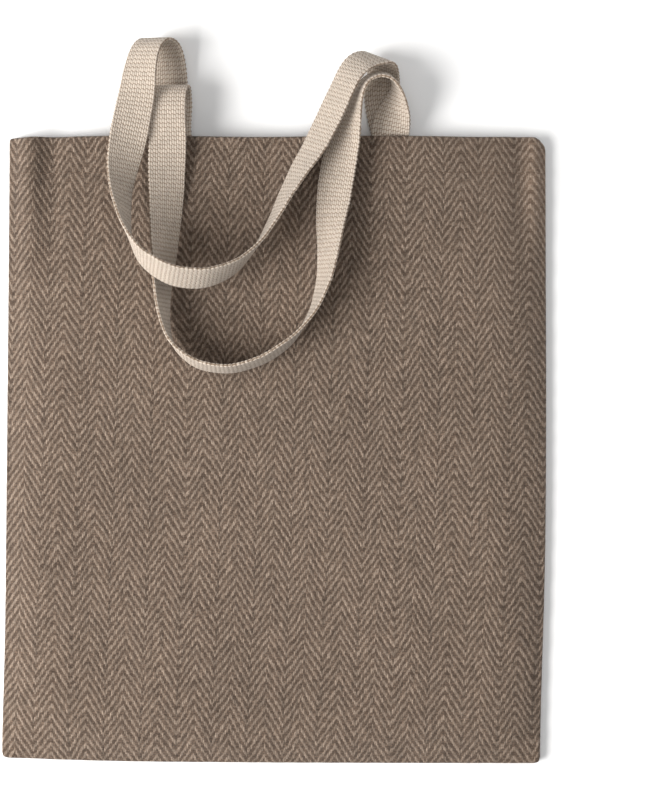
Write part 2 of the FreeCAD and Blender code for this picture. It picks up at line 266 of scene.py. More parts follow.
def webbing():
    """Ecru webbing: rows of small ovals in columns, with painted shade in the pits where they meet."""
    n = Nodes("ecru_webbing")
    column, row = WEB_WIDTH / 16.0, WEB_ROW
    many_columns, many_rows = 40, 400           # keep both counts above nought
    u, v = n.uv("Weave")
    fine = n.noise(n.at(n.mul(u, 0.001), n.mul(v, 0.001)), 260.0, 1.0)
    u1 = n.add(u, n.mul(n.sub(fine, 0.5), 0.7))
    v1 = n.add(v, n.mul(n.sub(fine, 0.5), 0.9))
    cols = n.mul(n.add(u1, many_columns * column), 1 / column)
    i = n.floor(cols)
    stagger = n.mul(n.math("FLOORED_MODULO", i, 2.0), 0.22)
    rows = n.add(n.add(n.mul(n.add(v1, many_rows * row), 1 / row), stagger),
                 n.mul(n.white(n.at(i, 0.3, 0.9)), 0.12))
    rows = n.add(rows, n.mul(n.fract(cols), 0.2))
    j = n.floor(rows)
    oval = n.mul(n.power(n.arch(n.fract(cols)), 0.55), n.power(n.arch(n.fract(rows)), 0.5))
    each = n.white(n.at(i, j, 1.0))
    band = n.white(n.at(j, 4.0, 1.0))
    fuzz = n.noise(n.at(u, n.mul(v, 0.4)), 2.6, 3.0, 0.75)
    slow = n.noise(n.at(n.mul(u, 0.02), n.mul(v, 0.02)), 1.6, 2.0)
    # painted shade: the low pits between the ovals take the much darker colour
    color = n.mix(n.ramp(oval, 0.05, 0.7), linear(124, 104, 85), linear(199, 186, 172))
    shade = n.add(0.86, n.mul(each, 0.14))
    shade = n.mul(shade, n.add(0.96, n.mul(band, 0.06)))
    shade = n.mul(shade, n.ramp(fuzz, 0.25, 0.75, 0.86, 1.12, False))
    shade = n.mul(shade, n.add(0.97, n.mul(slow, 0.06)))
    height = n.add(oval, n.mul(n.sub(fuzz, 0.5), 0.4))
    rough = n.ramp(oval, 0.0, 1.0, 0.95, 0.82)
    return n.finish(n.tint(color, shade), height, 0.00045, 0.85, rough, 0.12)


def thread(name, pale, deep):
    """Sewing thread: two plies twisted round each other."""
    n = Nodes(name)
    place = n.tree.nodes.new("ShaderNodeTexCoord").outputs["Object"]
    wave = n.tree.nodes.new("ShaderNodeTexWave")
    n.put(wave.inputs["Vector"], place)
    wave.bands_direction = "DIAGONAL"
    wave.inputs["Scale"].default_value = 900.0
    wave.inputs["Distortion"].default_value = 1.5
    fuzz = n.noise(place, 2500.0, 2.0)
    twist = n.mul(wave.outputs["Fac"], n.add(0.6, n.mul(fuzz, 0.6)))
    # painted shade: the grooves between the twisted plies take the deep colour
    color = n.mix(n.ramp(twist, 0.1, 0.8), deep, pale)
    return n.finish(color, twist, 0.0001, 0.5, n.ramp(fuzz, 0.0, 1.0, 0.6, 0.8), 0.05)


CLOTH = herringbone()
WEBBING = webbing()
THREAD = thread("matching_thread", linear(118, 99, 84), linear(76, 60, 49))
ECRU_THREAD = thread("ecru_thread", linear(190, 174, 153), linear(140, 121, 101))


# ---- meshes ----------------------------------------------------------------------------
def mesh_object(name, points, faces, material, uvs=None):
    """A smooth mesh from points in millimetres. uvs, in metres, are one for each point."""
    mesh = bpy.data.meshes.new(name)
    mesh.from_pydata((np.asarray(points) * MM).tolist(), [], [list(map(int, f)) for f in faces])
    mesh.materials.append(material)
    if uvs is not None:
        layer = mesh.uv_layers.new(name="Weave")
        corner = np.zeros(len(mesh.loops), np.int32)
        mesh.loops.foreach_get("vertex_index", corner)
        layer.data.foreach_set("uv", np.asarray(uvs, np.float32)[corner].ravel())
    mesh.polygons.foreach_set("use_smooth", [True] * len(mesh.polygons))
    mesh.update()
    ob = bpy.data.objects.new(name, mesh)
    scene.collection.objects.link(ob)
    return ob


def grid_faces(ny, nx, start=0, flip=False):
    """Faces of a grid of ny rows of nx points, of which the first is number start."""
    i, j = np.meshgrid(np.arange(nx - 1), np.arange(ny - 1))
    a = start + j * nx + i
    quads = np.stack([a, a + 1, a + nx + 1, a + nx], -1).reshape(-1, 4)
    return quads[:, ::-1] if flip else quads


def doubled_grid(ny, nx, flip):
    """Faces of a closed sheet: a grid of outside points, one of inside points, and the rim."""
    ring = ([j * nx for j in range(ny)] + [(ny - 1) * nx + i for i in range(1, nx)]
            + [j * nx + nx - 1 for j in range(ny - 2, -1, -1)] + list(range(nx - 2, 0, -1)))
    ring = np.array(ring)
    after = np.roll(ring, -1)
    rim = np.stack([ring, after, after + ny * nx, ring + ny * nx], -1)
    return np.concatenate([grid_faces(ny, nx, 0, flip), grid_faces(ny, nx, ny * nx, not flip),
                           rim[:, ::-1] if flip else rim])


def smoothstep(t):
    t = np.clip(t, 0, 1)
    return t * t * (3 - 2 * t)


def bell(x, y, cx, cy, sx, sy):
    """A bump of height 1 about (cx, cy) that fades over sx and sy."""
    return np.exp(-((x - cx) / sx) ** 2 - ((y - cy) / sy) ** 2)


def hump(x, middle, width):
    """A ridge of height 1 along the bag that fades over a width."""
    return bell(x, 0, middle, 0, width, 1)


# How the cloth lies. The bag isn't a perfect rectangle: its sides lean a little to the left
# towards the bottom, and the bottom bows out.
# Each table gives the place of an edge: a side against the distance past the mouth, and the
# bottom and the mouth as moves against the distance across.
LEFT_SIDE = [(0, -180.2), (-96, -181.0), (-177, -181.8), (-338, -183.4), (-405, -185.4), (-418, -185.8)]
RIGHT_SIDE = [(0, 180.6), (-177, 181.3), (-260, 181.0), (-330, 179.4), (-370, 177.8), (-418, 176.9)]
BOTTOM_BOW = [(-180, -0.8), (-150, 0.8), (-92, 2.3), (0, 3.0), (100, 3.3), (180, 3.4)]
MOUTH_WAVE = [(-180, -0.4), (-120, 0.5), (-70, 0.2), (-20, -0.5), (30, 0.1), (76, 0.4),
              (130, -0.3), (180, 0.1)]
TOP_CORNER = 12.0             # radius of the right corner of the mouth
BOTTOM_CORNER = 6.0           # radius of the two bottom corners


def rounded(table, at, width):
    """A table read with its corners rounded off over a width."""
    keys, values = (np.array(c, float) for c in zip(*sorted(table)))
    shifts = np.linspace(-width, width, 9)
    return np.mean([np.interp(at + s, keys, values) for s in shifts], axis=0)


def lie(p):
    """Moves points of the square-cut bag to where the cloth really lies."""
    x, y, z = p[..., 0].copy(), p[..., 1].copy(), p[..., 2].copy()
    past = y - MOUTH
    left, right = rounded(LEFT_SIDE, past, 30), rounded(RIGHT_SIDE, past, 30)
    share = (x + HALF) / (2 * HALF)
    new_x = left + share * (right - left)
    down = np.clip(-past / HEIGHT, 0, 1)
    new_y = y - rounded(BOTTOM_BOW, x, 25) * down ** 3
    new_y += rounded(MOUTH_WAVE, x, 15) * np.clip(1 - down * 5, 0, 1)
    # the right corner of the mouth and both bottom corners are rounded
    corners = ((1, -past, TOP_CORNER, -1), (-1, y - BOTTOM, BOTTOM_CORNER, 1),
               (1, y - BOTTOM, BOTTOM_CORNER, 1))
    for side, from_edge, radius, inwards in corners:
        px = np.clip(radius - (HALF - side * x), 0, radius)
        py = np.clip(radius - from_edge, 0, radius)
        pull = np.clip(1 - radius / np.maximum(np.hypot(px, py), radius), 0, 1)
        new_x -= side * px * pull
        new_y += inwards * py * pull
    return np.stack([new_x, new_y, z], -1)


def face_height(x, y):
    """Outside height of the front panel over the bag: soft, not quite flat."""
    down = MOUTH - y
    side = np.clip((HALF - np.abs(x) - ROLL) / RUN, 0, 1)
    tip = np.clip((y - BOTTOM - ROLL) / RUN, 0, 1)
    ease = (1 - (1 - side) ** 2.4) * (1 - (1 - tip) ** 2.4)
    # the sewn ends of the handles hold the cloth flat near them
    free = 1 - bell(x, y, HANDLE_SHIFT - HANDLE_OFFSET, MOUTH, 26, 34)
    free *= 1 - bell(x, y, HANDLE_SHIFT + HANDLE_OFFSET, MOUTH, 26, 34)
    loose = 0.35 + 0.65 * smoothstep((down - 150) / 70)
    wave = (0.8 * np.sin(2 * np.pi * (x / 290 + 0.12)) * np.sin(2 * np.pi * (y / 250 + 0.3))
            + 0.5 * np.sin(2 * np.pi * (x / 150 - y / 340 + 0.2))
            + 0.3 * np.sin(2 * np.pi * (x / 78 + y / 210 + 0.7)))
    mouth = np.exp(-(down / 55.0) ** 2)
    droop = 1.6 * hump(x, 2, 34) + 2.4 * hump(x, -136, 22) + 2.4 * hump(x, 138, 22)
    # a soft fold comes down from the mouth near the left corner, and the right edge stands up
    fold = 3.6 * hump(x, -166, 7) - 4.2 * hump(x, -151, 8) - 1.2 * hump(x, -136, 14)
    fold = fold * np.exp(-(down / 85.0) ** 2)
    fold += 3.0 * bell(x, down, 173, 30, 4.5, 42) - 1.6 * bell(x, down, 162, 30, 6, 42)
    # small puckers run in from the seams
    near = np.exp(-(HALF - np.abs(x)) / 11.0)
    pucker = 0.30 * near * np.sin(2 * np.pi * (y / 19 + 0.4 * np.sin(y / 37)))
    near = np.exp(-(y - BOTTOM) / 11.0)
    pucker += 0.30 * near * np.sin(2 * np.pi * (x / 21 + 0.4 * np.sin(x / 41)))
    # the hem is twice as thick as the cloth below it, so the face steps down at its stitching
    ridge = 0.35 * np.exp(-((down - HEM_ROW) / 1.6) ** 2) + 0.25 * smoothstep((down - HEM_ROW) / 4)
    level = np.minimum(FACE - 0.45 + loose * wave, FACE + 0.1)
    level = FACE + free * (level - FACE - droop * mouth - ridge)
    return EDGE_Z + (level - EDGE_Z) * ease + pucker + fold


def panel_sheet(side):
    """One panel with its turned hem. side is 1 for the front, whose inside is below, or -1."""
    rolls = 7                                         # lines across a turned edge
    roll = [1 - k / rolls for k in range(rolls)]      # share of the roll, from the seam inwards
    roll_turn = 150.0                                 # degrees that a side or bottom edge turns
    flat_half = HALF - ROLL
    mid = ROLL - PLY / 2
    inner_x = np.linspace(-flat_half, flat_half, 145)
    xs = np.concatenate([np.full(rolls, inner_x[0]), inner_x, np.full(rolls, inner_x[-1])])
    ax = np.concatenate([-np.array(roll), np.zeros(len(inner_x)), np.array(roll[::-1])])
    inner_y = np.linspace(BOTTOM + ROLL, MOUTH - ROLL, 168)
    folds = np.linspace(90, -90, 9)[1:]
    hem_y = np.linspace(MOUTH - ROLL, MOUTH - HEM, 11)[1:]
    # each row: y, share of the bottom roll, degrees of the fold at the mouth, length turned back
    rows = [(inner_y[0], a, 0.0, 0.0) for a in roll]
    rows += [(y, 0.0, 0.0, 0.0) for y in inner_y]
    rows += [(MOUTH - ROLL, 0.0, 90 - f, 0.0) for f in folds]
    rows += [(MOUTH - ROLL, 0.0, 180.0, MOUTH - ROLL - y) for y in hem_y]
    grid, uvs = [], []
    for y0, ay, fold, back in rows:
        x, y = xs.copy(), np.full(len(xs), y0)
        reach = np.maximum(np.abs(ax), ay)
        turned = smoothstep(fold / 120.0)
        reach = reach * (1 - turned)
        phi = np.radians(90 - roll_turn * reach)
        norm = np.maximum(np.hypot(ax, ay), 1e-9)
        out = mid * np.cos(phi)
        x = x + out * ax / norm * (reach > 0)
        y = y - out * ay / norm * (reach > 0)
        if side > 0:
            outside = face_height(np.clip(x, -flat_half, flat_half), np.clip(y - back, BOTTOM + ROLL, MOUTH))
        else:
            outside = np.zeros(len(xs))
        z = outside - side * ROLL + side * mid * np.sin(phi)
        if fold > 0:
            f = math.radians(90 - fold)
            y = y + mid * math.cos(f) - back
            z = outside - side * ROLL + side * mid * math.sin(f)
            z = z + (1 - turned) * (side * mid * np.sin(phi) - side * mid) * (1 - fold / 180)
            widest = flat_half + (1 - turned) * mid
            # the turned-in hem is a little narrower than the panel, to lie inside its sides
            x = np.clip(x, -widest, widest) * (1 - 2.2 * turned / HALF)
        grid.append(np.stack([x, y, z], -1))
        arc = ax * math.radians(roll_turn) * ROLL
        length = y0 - ay * math.radians(roll_turn) * ROLL + math.radians(fold) * ROLL + back
        uvs.append(np.stack([xs + arc, np.full(len(xs), length)], -1))
    grid, uvs = lie(np.array(grid)), np.array(uvs) * MM
    ny, nx = grid.shape[:2]
    du = np.gradient(grid, axis=1)
    dv = np.gradient(grid, axis=0)
    normal = np.cross(du, dv) * side
    normal /= np.maximum(np.linalg.norm(normal, axis=-1, keepdims=True), 1e-9)
    points = np.concatenate([(grid + normal * PLY / 2).reshape(-1, 3),
                             (grid - normal * PLY / 2).reshape(-1, 3)])
    return points, doubled_grid(ny, nx, side < 0), np.concatenate([uvs.reshape(-1, 2)] * 2)


def strip(x0, x1, y0, y1, z):
    """A flat strip of one ply, for a seam allowance, as points, faces and uvs."""
    step = 6.0
    nx, ny = max(2, int((x1 - x0) / step)), max(2, int((y1 - y0) / step))
    gx, gy = np.meshgrid(np.linspace(x0, x1, nx), np.linspace(y0, y1, ny))
    low = np.stack([gx, gy, np.full_like(gx, z - PLY / 2)], -1)
    high = np.stack([gx, gy, np.full_like(gx, z + PLY / 2)], -1)
    points = lie(np.concatenate([high.reshape(-1, 3), low.reshape(-1, 3)]))
    uv = np.stack([gx, gy], -1).reshape(-1, 2) * MM
    return points, doubled_grid(ny, nx, False), np.concatenate([uv, uv])


def joined(parts):
    """Several (points, faces, uvs) as one."""
    points, faces, uvs, start = [], [], [], 0
    for p, f, u in parts:
        points.append(p)
        faces.append(f + start)
        uvs.append(u)
        start += len(p)
    return np.concatenate(points), np.concatenate(faces), np.concatenate(uvs)


def panel(name, side, level):
    """A panel and, inside the bag, its allowances along the two sides and the bottom."""
    low = BOTTOM + FROM_FOLD
    parts = [panel_sheet(side),
             strip(-HALF + FROM_FOLD, -HALF + SEAM, low, UNDER_HEM, level),
             strip(HALF - SEAM, HALF - FROM_FOLD, low, UNDER_HEM, level),
             strip(-HALF + SEAM + 0.2, HALF - SEAM - 0.2, low, BOTTOM + SEAM, level)]
    points, faces, uvs = joined(parts)
    return mesh_object(name, points, faces, CLOTH, uvs)


ALLOWANCE_STEP = 0.75         # middle of an allowance, above or below the seam's middle
front = panel("front_cloth", 1, SEAM_Z + ALLOWANCE_STEP)
back = panel("back_cloth", -1, SEAM_Z - ALLOWANCE_STEP)
for ob, node in ((front, "front_panel"), (back, "back_panel")):
    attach(ob, "bag")
    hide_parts(node)


# ---- stitches --------------------------------------------------------------------------
HEM_PITCH, SEAM_PITCH, BOX_PITCH = 3.3, 3.0, 2.9
HEM_THREAD, SEAM_THREAD, FINE_THREAD = 0.30, 0.28, 0.26      # radii
HEM_INSIDE = 3.5              # the hem's inner ply, below the outside face of its panel
HEM_SHORT = 6.0               # a row inside the bag stops this much short of the one outside
SEAM_SIDE = 1.55              # thread on a seam, above or below its middle
WEB_SIDE = WEB_THICK / 2      # thread on a sewn end, above or below its middle
BOX_INSET = 3.0               # box stitch, from the edges of the sewn end


def stitch_run(a, b, pitch, gap=0.7):
    """Stitches from a to b, as (start, end) pairs."""
    a, b = np.array(a, float), np.array(b, float)
    length = np.linalg.norm(b - a)
    count = max(1, round(length / pitch))
    unit = (b - a) / length
    each = length / count
    return [(a + unit * (k * each + gap / 2), a + unit * ((k + 1) * each - gap / 2))
            for k in range(count)]


def thread_object(name, runs, radius, place):
    """Every stitch of a row as a short thread that dips into the cloth at both ends."""
    across, along = 8, 7          # points round a thread and rings along it
    flat = 0.75                   # a stitch's height as a share of its width
    uneven = 0.06
    points, faces = [], []
    t = np.linspace(0, 1, along)
    for a, b in runs:
        a = a + rng.normal(0, uneven, 3) * (1, 1, 0)
        b = b + rng.normal(0, uneven, 3) * (1, 1, 0)
        line = place(a[None] * (1 - t[:, None]) + b[None] * t[:, None])
        line[:, 2] += (np.sin(np.pi * t) ** 0.5 - 0.55) * radius * 1.2 * place.up
        direction = line[-1] - line[0]
        direction /= np.linalg.norm(direction)
        sideways = np.cross(direction, (0, 0, 1))
        sideways /= max(np.linalg.norm(sideways), 1e-9)
        up = np.cross(sideways, direction)
        size = radius * np.sqrt(np.clip(1 - (2 * t - 1) ** 4, 0.02, 1))
        start = len(points)
        for k in range(along):
            for q in range(across):
                w = 2 * np.pi * q / across
                ring_x, ring_y = math.cos(w) * size[k], math.sin(w) * size[k] * flat
                points.append(line[k] + sideways * ring_x + up * ring_y)
        for k in range(along - 1):
            for q in range(across):
                r = (q + 1) % across
                faces.append((start + k * across + q, start + (k + 1) * across + q,
                              start + (k + 1) * across + r, start + k * across + r))
        faces.append(tuple(start + q for q in range(across)))
        faces.append(tuple(start + (along - 1) * across + q for q in reversed(range(across))))
    return mesh_object(name, np.array(points), faces, THREAD)


class OnFace:
    """Places stitches on the outside of the front panel."""

    up = 1.0

    def __init__(self, lift):
        self.lift = lift

    def __call__(self, p):
        p = p.copy()
        p[:, 2] = face_height(p[:, 0], p[:, 1]) + self.lift
        return lie(p)


class OnLevel:
    """Places stitches at a height that is already in their points.

    up is the way that they bulge. follow adds the rise and fall of the front panel, and lying
    moves them with the cloth.
    """

    def __init__(self, up, follow=False, lying=True):
        self.up = up
        self.follow = follow
        self.lying = lying

    def __call__(self, p):
        p = p.copy()
        if self.follow:
            p[:, 2] += face_height(p[:, 0], p[:, 1]) - FACE
        return lie(p) if self.lying else p


def level(runs, z):
    """The same stitches at a height."""
    return [(np.array((*a[:2], z)), np.array((*b[:2], z))) for a, b in runs]


def sew(name, node, pieces):
    """Joins the given stitch objects into one piece that stands for a CAD node."""
    first = pieces[0]
    if len(pieces) > 1:
        with bpy.context.temp_override(active_object=first, selected_editable_objects=pieces):
            bpy.ops.object.join()
    first.name = name
    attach(first, "bag")
    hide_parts(node)


row_y = MOUTH - HEM_ROW
reach = HALF - 4.0
outer_run = stitch_run((-reach, row_y, 0), (reach, row_y, 0), HEM_PITCH)
inner_run = stitch_run((-reach + HEM_SHORT, row_y, 0), (reach - HEM_SHORT, row_y, 0), HEM_PITCH)
outside = thread_object("hem_outside", outer_run, HEM_THREAD, OnFace(-0.02))
inside = thread_object("hem_inside", level(inner_run, FACE - HEM_INSIDE), HEM_THREAD,
                       OnLevel(-1.0, follow=True))
sew("front_hem_thread", "front_hem_stitching", [outside, inside])
inside = thread_object("hem_back", level(inner_run, HEM_INSIDE + 0.05), HEM_THREAD, OnLevel(1.0))
sew("back_hem_thread", "back_hem_stitching", [inside])


def box_runs(middle):
    """A box with its two diagonals, sewn through a handle's end."""
    x0, x1 = middle - WEB_WIDTH / 2 + BOX_INSET, middle + WEB_WIDTH / 2 - BOX_INSET
    y0, y1 = MOUTH - TAIL + BOX_INSET, MOUTH - BOX_INSET
    c = [(x0, y0, 0), (x1, y0, 0), (x1, y1, 0), (x0, y1, 0)]
    runs = []
    for a, b in ((0, 1), (1, 2), (2, 3), (3, 0), (0, 2), (1, 3)):
        runs += stitch_run(c[a], c[b], BOX_PITCH, 0.6)
    return runs


for word, middle in (("left", HANDLE_SHIFT - HANDLE_OFFSET), ("right", HANDLE_SHIFT + HANDLE_OFFSET)):
    box = box_runs(middle)
    under = thread_object("box_under", level(box, FRONT_SEWN_Z - WEB_SIDE), SEAM_THREAD,
                          OnLevel(-1.0, lying=False))
    over = thread_object("box_over", box, FINE_THREAD, OnFace(-0.10))
    sew("front_" + word + "_box_thread", "front_" + word + "_box_stitch", [under, over])
    top = thread_object("box_top", level(box, BACK_SEWN_Z + WEB_SIDE), SEAM_THREAD,
                        OnLevel(1.0, lying=False))
    sew("back_" + word + "_box_thread", "back_" + word + "_box_stitch", [top])


def seam_thread(name, node, a, b):
    """A row of stitches seen on both sides of a seam."""
    run = stitch_run(a, b, SEAM_PITCH)
    over = thread_object("over", level(run, SEAM_Z + SEAM_SIDE), SEAM_THREAD, OnLevel(1.0))
    under = thread_object("under", level(run, SEAM_Z - SEAM_SIDE), SEAM_THREAD, OnLevel(-1.0))
    sew(name, node, [over, under])


seam_low = BOTTOM + SEAM_ROW + 0.3
for word, side in (("left", -1), ("right", 1)):
    seam_x = side * (HALF - SEAM_ROW)
    seam_thread(word + "_seam_thread", word + "_side_seam_stitching",
                (seam_x, seam_low, 0), (seam_x, UNDER_HEM, 0))
seam_thread("bottom_seam_thread", "bottom_seam_stitching",
            (-HALF + 5, BOTTOM + SEAM_ROW, 0), (HALF - 5, BOTTOM + SEAM_ROW, 0))


def overlock(name, node, a, b, normal):
    """Loops of thread bound over a raw edge, as a flattened coil along it."""
    a, b, normal = (np.array(v, float) for v in (a, b, normal))
    pitch, reach_in, half_height, per_turn = 2.4, 1.2, 1.75, 8
    turns = int(np.linalg.norm(b - a) / pitch)
    t = np.linspace(0, 1, turns * per_turn + 1)
    w = 2 * np.pi * turns * t
    line = a + (b - a) * t[:, None] + normal * (0.2 + reach_in * np.cos(w))[:, None]
    line[:, 2] = SEAM_Z + half_height * np.sin(w)
    line = lie(line)
    curve = bpy.data.curves.new(name, "CURVE")
    curve.dimensions = "3D"
    curve.bevel_depth = 0.22 * MM
    curve.bevel_resolution = 0
    spline = curve.splines.new("POLY")
    spline.points.add(len(line) - 1)
    spline.points.foreach_set("co", np.concatenate([line * MM, np.ones((len(line), 1))], 1).ravel())
    ob = bpy.data.objects.new(name, curve)
    scene.collection.objects.link(ob)
    bpy.context.view_layer.update()
    mesh = bpy.data.meshes.new_from_object(ob.evaluated_get(bpy.context.evaluated_depsgraph_get()))
    bpy.data.objects.remove(ob)
    mesh.materials.clear()
    mesh.materials.append(ECRU_THREAD)
    made = bpy.data.objects.new(name, mesh)
    scene.collection.objects.link(made)
    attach(made, "bag")
    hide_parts(node)


edge_low, edge_x = BOTTOM + SEAM, HALF - SEAM
for word, side in (("left", -1), ("right", 1)):
    overlock(word + "_overlock_thread", word + "_side_overlock",
             (side * edge_x, edge_low + 1, 0), (side * edge_x, UNDER_HEM, 0), (-side, 0, 0))
overlock("bottom_overlock_thread", "bottom_overlock",
         (-edge_x, edge_low, 0), (edge_x, edge_low, 0), (0, 1, 0))

# ---- handles ---------------------------------------------------------------------------
# Stations along each handle: across, as a share of HANDLE_OFFSET; past the mouth; height; what
# the height is from; and the direction of the webbing's width. They are the frame's stations,
# but the back handle's left arch reaches up to 2.2 further past the mouth here, and its right
# end lies up to 5.1 further left and its right arch is turned a little, as in the photograph.
SEWN, ABOVE, STACKED = "sewn level", "front face", "front face, in webbing widths"
FRONT_ROUTE = [
    (-1.00, 0, 0.0, SEWN, (-1, 0, 0)),
    (-1.00, 9, -1.0, SEWN, (-1, 0, -0.02)),
    (-0.99, 19, -2.6, SEWN, (-1, 0, -0.08)),
    (-0.99, 27.5, -0.8, SEWN, (-1, 0, -0.12)),
    (-1.00, 32.5, 6.3, SEWN, (-1, 0, -0.13)),
    (-1.02, 29.5, 13.2, SEWN, (-1, 0, -0.12)),
    (-1.03, 17, 17.2, SEWN, (-1, 0.03, -0.07)),
    (-1.03, -4, 9.8, ABOVE, (-1, 0.02, 0.06)),
    (-1.04, -37, 3.2, ABOVE, (-0.91, 0.04, 0.42)),
    (-1.06, -78, 1.2, ABOVE, (-0.61, 0.07, 0.79)),
    (-1.06, -119, 1.2, ABOVE, (-0.22, 0.05, 0.97)),
    (-0.98, -139, 2.6, ABOVE, (-0.03, 0.1, 0.99)),
    (-0.77, -152, 4.0, ABOVE, (0.04, 0.17, 0.98)),
    (-0.49, -156, 4.2, ABOVE, (0, 0.17, 0.99)),
    (-0.22, -151.5, 3.9, ABOVE, (-0.02, 0.17, 0.98)),
    (0.03, -141, 3.0, ABOVE, (-0.03, 0.15, 0.98)),
    (0.22, -126, 1.5, ABOVE, (0.1, 0.05, 0.99)),
    (0.39, -97, 1.2, ABOVE, (0.36, -0.05, 0.92)),
    (0.445, -66, 1.9, ABOVE, (0.68, -0.06, 0.73)),
    (0.49, -36, 3.8, ABOVE, (0.92, -0.13, 0.38)),
    (0.57, -5, 2.0, ABOVE, (0.82, -0.21, 0.52)),
    (0.64, 15, -2.0, ABOVE, (0.51, -0.2, 0.84)),
    (0.71, 29, -2.7, ABOVE, (0.25, -0.17, 0.95)),
    (0.79, 37, -2.9, ABOVE, (0.19, -0.17, 0.97)),
    (0.9, 40, -3.2, ABOVE, (0.18, -0.23, 0.96)),
    (1.0, 38, -4.4, ABOVE, (0.15, -0.3, 0.94)),
    (1.06, 31, -7.4, ABOVE, (0.25, -0.28, 0.92)),
    (1.05, 21, 5.3, SEWN, (0.64, -0.24, 0.73)),
    (1.02, 10, 2.2, SEWN, (0.94, -0.12, 0.3)),
    (1.00, 0, 0.0, SEWN, (1, 0, 0)),
]
BACK_ROUTE = [
    (-1.00, 0, 0.0, SEWN, (-1, 0, 0)),
    (-1.02, 14, 0.0, SEWN, (-1, 0, -0.05)),
    (-1.03, 30, 0.0, SEWN, (-0.98, 0, -0.2)),
    (-1.03, 44, 1.2, SEWN, (-0.93, 0, -0.36)),
    (-1.045, 56, 4.0, SEWN, (-0.86, 0.03, -0.5)),
    (-1.09, 63, 9.3, SEWN, (-0.83, 0.06, -0.55)),
    (-1.15, 64.2, 15.4, SEWN, (-0.82, 0.07, -0.57)),
    (-1.21, 59.5, 1.0, ABOVE, (-0.82, 0.07, -0.57)),
    (-1.26, 48, 5.6, ABOVE, (-0.86, 0.1, -0.5)),
    (-1.31, 23, 0.5, STACKED, (-0.98, 0.14, -0.15)),
    (-1.36, 3, 0.61, STACKED, (-0.97, 0.18, 0.14)),
    (-1.41, -16, 0.46, STACKED, (-0.83, 0.18, 0.53)),
    (-1.44, -36, 0.36, STACKED, (-0.54, 0.18, 0.82)),
    (-1.41, -55, 0.53, STACKED, (-0.29, 0.25, 0.93)),
    (-1.33, -73, 0.8, STACKED, (-0.04, 0.34, 0.94)),
    (-1.16, -87.5, 1.04, STACKED, (0.08, 0.42, 0.9)),
    (-0.91, -96, 1.1, STACKED, (0.12, 0.46, 0.88)),
    (-0.64, -96.5, 0.98, STACKED, (0.12, 0.44, 0.89)),
    (-0.4, -89, 0.72, STACKED, (0.13, 0.33, 0.94)),
    (-0.21, -75, 0.46, STACKED, (0.22, 0.18, 0.96)),
    (-0.07, -58, 0.27, STACKED, (0.3, 0.07, 0.95)),
    (0.11, -32, 2.8, ABOVE, (0.44, -0.1, 0.89)),
    (0.32, -6, 1.6, ABOVE, (0.58, -0.25, 0.78)),
    (0.5, 21, 1.6, ABOVE, (0.6, -0.29, 0.75)),
    (0.63, 40, 1.4, ABOVE, (0.57, -0.36, 0.75)),
    (0.735, 48.8, -1.2, ABOVE, (0.59, -0.43, 0.69)),
    (0.83, 51.5, 16.2, SEWN, (0.6, -0.42, 0.68)),
    (0.92, 51.2, 9.8, SEWN, (0.65, -0.29, 0.7)),
    (0.94, 45, 3.4, SEWN, (0.8, -0.13, 0.58)),
    (0.925, 33, 0.6, SEWN, (0.95, -0.02, 0.28)),
    (0.95, 17, -0.3, SEWN, (0.99, 0, 0.1)),
    (1.00, 0, 0.0, SEWN, (1, 0, 0)),
]


def natural_spline(at, values):
    """Cubic curve through values at the given lengths, as a function."""
    at, values = np.array(at, float), np.array(values, float)
    n = len(at)
    h = np.diff(at)
    a = np.eye(n)
    b = np.zeros_like(values)
    for k in range(1, n - 1):
        a[k, k - 1], a[k, k], a[k, k + 1] = h[k - 1], 2 * (h[k - 1] + h[k]), h[k]
        b[k] = 6 * ((values[k + 1] - values[k]) / h[k] - (values[k] - values[k - 1]) / h[k - 1])
    m = np.linalg.solve(a, b)

    def read(t):
        t = np.atleast_1d(np.asarray(t, float))
        k = np.clip(np.searchsorted(at, t) - 1, 0, n - 2)
        w, d0, d1 = h[k][:, None], (t - at[k])[:, None], (at[k + 1] - t)[:, None]
        bend = (m[k] * d1 ** 3 + m[k + 1] * d0 ** 3) / (6 * w)
        return (bend + (values[k] / w - m[k] * w / 6) * d1
                + (values[k + 1] / w - m[k + 1] * w / 6) * d0)
    return read


TONGUE, TONGUE_SIZE = 1.2, 0.9        # how far a loop reaches into its ends, and its share of the section


def webbing_section():
    """(places across, half thickness there) over one face of the webbing, as shares of its width."""
    w = np.concatenate([[-1, -0.985, -0.955], np.linspace(-0.92, 0.92, 17), [0.955, 0.985, 1]])
    d = np.sqrt(np.clip(1 - np.clip((np.abs(w) - 0.93) / 0.07, 0, 1) ** 2, 0.0, 1))
    return w, np.where(np.abs(w) >= 1, 0.12, np.maximum(d, 0.35))


